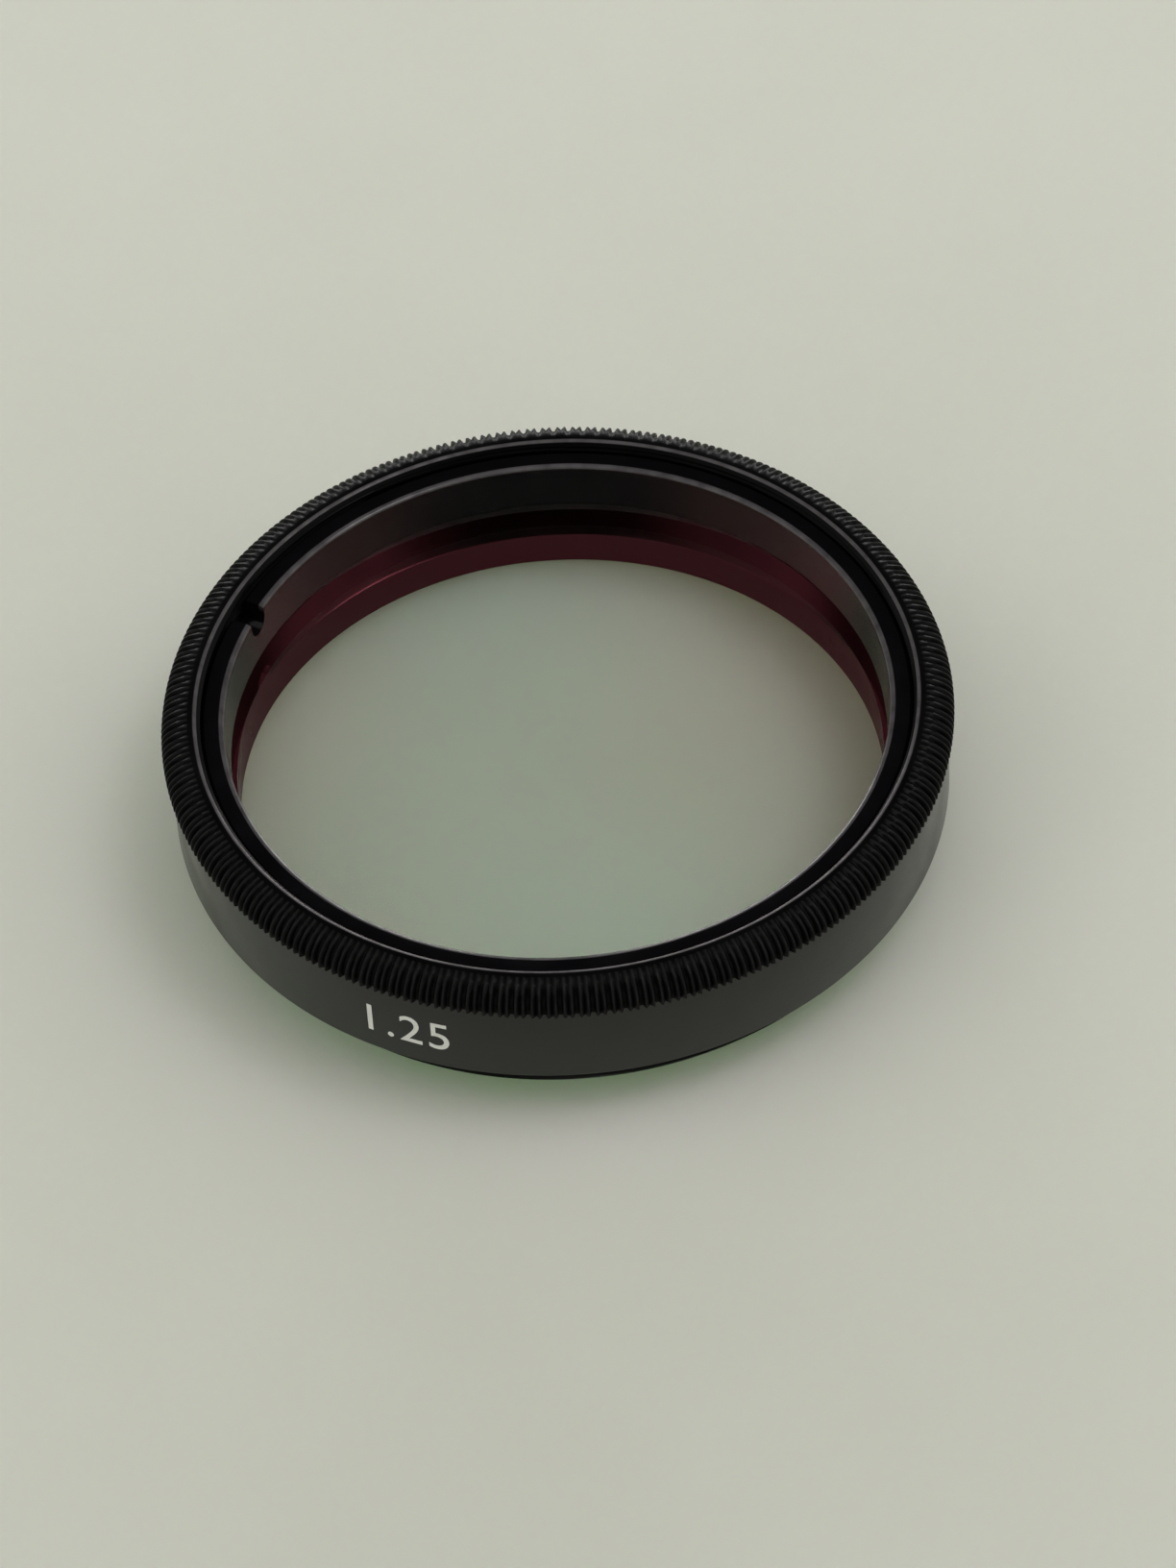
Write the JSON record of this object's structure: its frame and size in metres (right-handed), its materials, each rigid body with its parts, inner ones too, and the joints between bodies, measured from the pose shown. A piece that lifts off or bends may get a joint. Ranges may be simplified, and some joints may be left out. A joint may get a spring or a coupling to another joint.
{
  "type": "telescope blocking filter",
  "caption": "Round threaded telescope filter: a knurled black cell holds a coated glass disc under a slotted retaining ring.",
  "frame": {"origin": "centre of the male thread's end face, which is the lowest face", "axes": "+Z along the optical axis, from the male thread towards the knurled rim and the female thread; +X and +Y are level"},
  "size_m": [0.031, 0.031, 0.0066],
  "materials": {
    "cell_black": "satin black anodising over a fine turned surface",
    "filter_coating": "polished, with a blocking coating that reflects deep red and passes pale green",
    "ring_black": "black anodising with a faint purple cast"
  },
  "bodies": {
    "root": {"filter_cell": "cell_black", "filter_glass": "filter_coating", "retaining_ring": "ring_black"}
  },
  "joints": []
}
